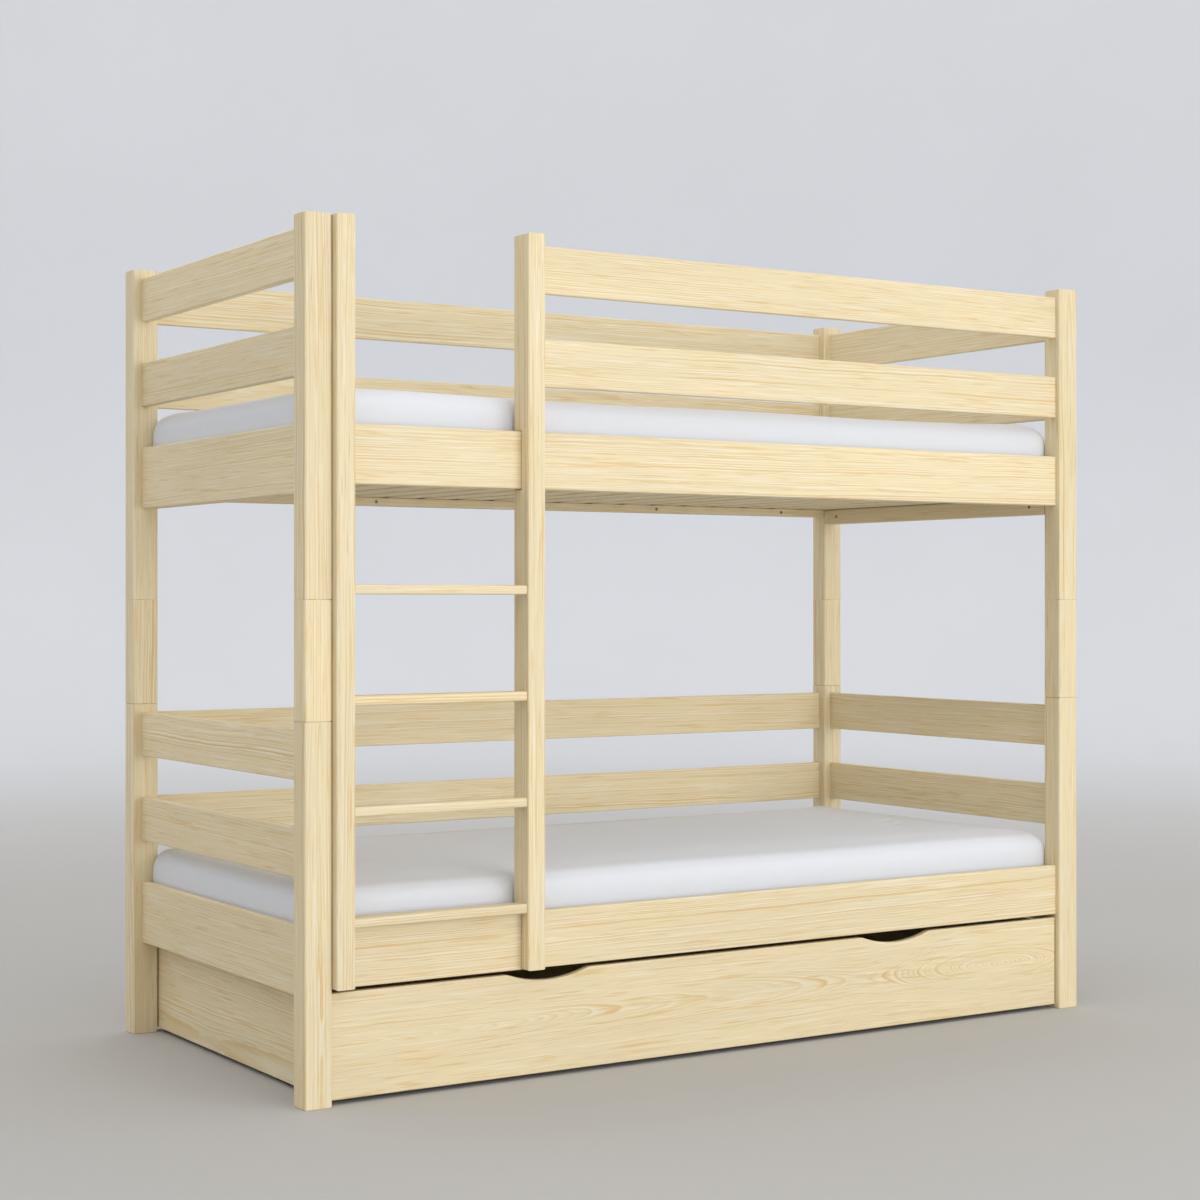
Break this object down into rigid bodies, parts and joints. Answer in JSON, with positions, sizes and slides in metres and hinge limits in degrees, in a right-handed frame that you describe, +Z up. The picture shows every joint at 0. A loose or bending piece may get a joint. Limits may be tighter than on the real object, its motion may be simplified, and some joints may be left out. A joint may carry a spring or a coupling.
{
  "type": "bunk bed with ladder",
  "caption": "Pine bunk bed of two stacked bed frames on spacer blocks, with a hook-on ladder, guard boards, slat bases, mattresses and a rolling full-width under-bed drawer.",
  "frame": {"origin": "on the floor, under the middle of the whole piece's box, ladder included", "axes": "+X along the bed from the ladder end to the other end, +Y towards the wall side, -Y the front with the ladder and drawer, +Z up"},
  "size_m": [2.08, 0.989, 1.7597],
  "materials": {
    "pine": "clear satin, natural pale pine with fine straight grain",
    "slat_pine": "planed, unfinished pale pine",
    "birch_plywood": "sanded birch plywood",
    "mattress_fabric": "smooth white woven cotton cover",
    "black_plastic": "moulded black plastic",
    "zinc_steel": "zinc-plated sheet steel"
  },
  "bodies": {
    "bed": {"lower_post_front_left": "pine", "lower_post_front_right": "pine", "lower_post_back_left": "pine", "lower_post_back_right": "pine", "spacer_post_front_left": "pine", "spacer_post_front_right": "pine", "spacer_post_back_left": "pine", "spacer_post_back_right": "pine", "upper_post_front_left": "pine", "upper_post_front_right": "pine", "upper_post_back_left": "pine", "upper_post_back_right": "pine", "lower_front_rail": "pine", "lower_back_rail": "pine", "lower_left_rail": "pine", "lower_right_rail": "pine", "upper_front_rail": "pine", "upper_back_rail": "pine", "upper_left_rail": "pine", "upper_right_rail": "pine", "lower_back_board_low": "pine", "lower_back_board_top": "pine", "lower_left_board_low": "pine", "lower_left_board_top": "pine", "lower_right_board_low": "pine", "lower_right_board_top": "pine", "upper_back_board_low": "pine", "upper_back_board_top": "pine", "upper_left_board_low": "pine", "upper_left_board_top": "pine", "upper_right_board_low": "pine", "upper_right_board_top": "pine", "upper_guard_board_low": "pine", "upper_guard_board_top": "pine", "ladder_stile_left": "pine", "ladder_stile_right": "pine", "ladder_rung_1": "pine", "ladder_rung_2": "pine", "ladder_rung_3": "pine", "ladder_rung_4": "pine", "lower_slat_base": "slat_pine", "upper_slat_base": "slat_pine", "lower_mattress": "mattress_fabric", "upper_mattress": "mattress_fabric"},
    "drawer": {"drawer_front": "pine", "drawer_left_side": "slat_pine", "drawer_right_side": "slat_pine", "drawer_back": "slat_pine", "drawer_bottom": "birch_plywood", "wheel_bracket_front_left": "zinc_steel", "wheel_bracket_front_right": "zinc_steel", "wheel_bracket_back_left": "zinc_steel", "wheel_bracket_back_right": "zinc_steel"},
    "wheel_front_left": {"drawer_wheel_front_left": "black_plastic"},
    "wheel_front_right": {"drawer_wheel_front_right": "black_plastic"},
    "wheel_back_left": {"drawer_wheel_back_left": "black_plastic"},
    "wheel_back_right": {"drawer_wheel_back_right": "black_plastic"}
  },
  "joints": [
    {"name": "drawer_slide", "type": "slide", "parent": "bed", "child": "drawer", "axis": [0, -1, 0], "range_m": [0, 0.8]},
    {"name": "wheel_spin_front_left", "type": "hinge", "parent": "drawer", "child": "wheel_front_left", "pos_m": [-0.8875, -0.3695, 0.024], "axis": [1, 0, 0], "continuous": true},
    {"name": "wheel_spin_front_right", "type": "hinge", "parent": "drawer", "child": "wheel_front_right", "pos_m": [0.8875, -0.3695, 0.024], "axis": [1, 0, 0], "continuous": true},
    {"name": "wheel_spin_back_left", "type": "hinge", "parent": "drawer", "child": "wheel_back_left", "pos_m": [-0.8875, 0.3775, 0.024], "axis": [1, 0, 0], "continuous": true},
    {"name": "wheel_spin_back_right", "type": "hinge", "parent": "drawer", "child": "wheel_back_right", "pos_m": [0.8875, 0.3775, 0.024], "axis": [1, 0, 0], "continuous": true}
  ],
  "couplings": [
    {"joint": "wheel_spin_front_left", "follows": "drawer_slide", "rad_per_m": 41.667},
    {"joint": "wheel_spin_front_right", "follows": "drawer_slide", "rad_per_m": 41.667},
    {"joint": "wheel_spin_back_left", "follows": "drawer_slide", "rad_per_m": 41.667},
    {"joint": "wheel_spin_back_right", "follows": "drawer_slide", "rad_per_m": 41.667}
  ]
}
